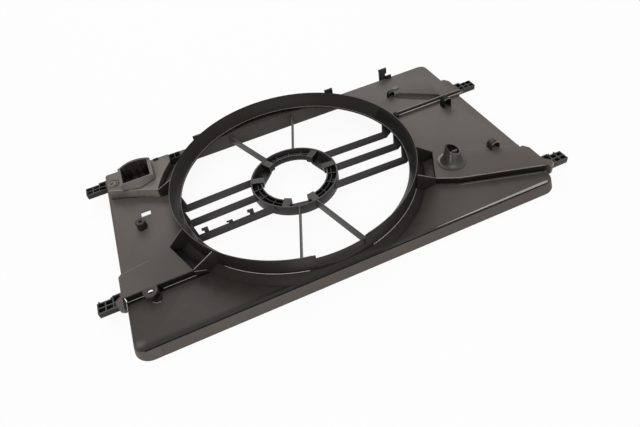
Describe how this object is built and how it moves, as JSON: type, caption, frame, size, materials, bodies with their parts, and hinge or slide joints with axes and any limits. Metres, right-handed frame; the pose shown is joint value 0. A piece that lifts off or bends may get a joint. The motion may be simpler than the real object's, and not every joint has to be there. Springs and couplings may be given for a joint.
{
  "type": "radiator fan shroud",
  "caption": "Flat rectangular radiator fan shroud with a raised round fan ring, a spoked motor mount, side tabs, harness clips and latch hooks.",
  "frame": {"origin": "on the fan's axis, in the plane of the rim that seals on the radiator", "axes": "+Z from the radiator towards the fan, +X along the long side towards the drain spout, +Y towards the edge with the latch hooks"},
  "size_m": [0.7245, 0.4105, 0.0631],
  "materials": {
    "shroud_plastic": "satin, glass-filled, faintly mottled",
    "black_plastic": "satin black"
  },
  "bodies": {
    "shroud": {"back_wall": "shroud_plastic", "bar_left_back": "shroud_plastic", "bar_left_front": "shroud_plastic", "bar_left_middle": "shroud_plastic", "bar_right_back": "shroud_plastic", "bar_right_front": "shroud_plastic", "bar_right_middle": "shroud_plastic", "cable_groove": "shroud_plastic", "drain_spout": "shroud_plastic", "duct_ribs": "shroud_plastic", "edge_socket": "black_plastic", "fan_ring": "shroud_plastic", "front_deck": "shroud_plastic", "front_skirt": "shroud_plastic", "harness_clip_inner": "shroud_plastic", "harness_clip_outer": "shroud_plastic", "harness_clip_small": "shroud_plastic", "hook_stop": "shroud_plastic", "housing_ribs": "shroud_plastic", "left_deck": "shroud_plastic", "left_pocket_webs": "shroud_plastic", "left_step": "shroud_plastic", "left_wall": "shroud_plastic", "motor_mount": "shroud_plastic", "nut_lug": "shroud_plastic", "platform": "shroud_plastic", "platform_screw_ear": "shroud_plastic", "platform_web": "shroud_plastic", "resistor_housing": "shroud_plastic", "right_deck": "shroud_plastic", "right_pocket_webs": "shroud_plastic", "right_step": "shroud_plastic", "right_wall": "shroud_plastic", "ring_collar": "shroud_plastic", "screw_boss": "shroud_plastic", "skirt_corner_left": "shroud_plastic", "skirt_corner_right": "shroud_plastic", "spoke_back_left": "shroud_plastic", "spoke_back_right": "shroud_plastic", "spoke_front_left": "shroud_plastic", "spoke_front_right": "shroud_plastic", "tab_gusset_left": "shroud_plastic", "tab_gusset_right": "shroud_plastic", "tab_left_back": "black_plastic", "tab_left_front": "black_plastic", "tab_right_back": "black_plastic", "tab_right_front": "black_plastic", "wire_clips": "shroud_plastic"},
    "latch_hook_left": {"latch_hook_left": "shroud_plastic"},
    "latch_hook_middle": {"latch_hook_middle": "shroud_plastic"},
    "latch_hook_right": {"latch_hook_right": "shroud_plastic"}
  },
  "joints": [
    {"name": "latch_hook_left_flex", "type": "hinge", "parent": "shroud", "child": "latch_hook_left", "pos_m": [-0.1255, 0.1806, 0.0143], "axis": [1, 0, 0], "range_deg": [0, 5], "stiffness_Nm_per_rad": 3},
    {"name": "latch_hook_middle_flex", "type": "hinge", "parent": "shroud", "child": "latch_hook_middle", "pos_m": [0.1375, 0.1806, 0.0143], "axis": [1, 0, 0], "range_deg": [0, 5], "stiffness_Nm_per_rad": 3},
    {"name": "latch_hook_right_flex", "type": "hinge", "parent": "shroud", "child": "latch_hook_right", "pos_m": [0.2555, 0.1806, 0.0143], "axis": [1, 0, 0], "range_deg": [0, 5], "stiffness_Nm_per_rad": 3}
  ]
}
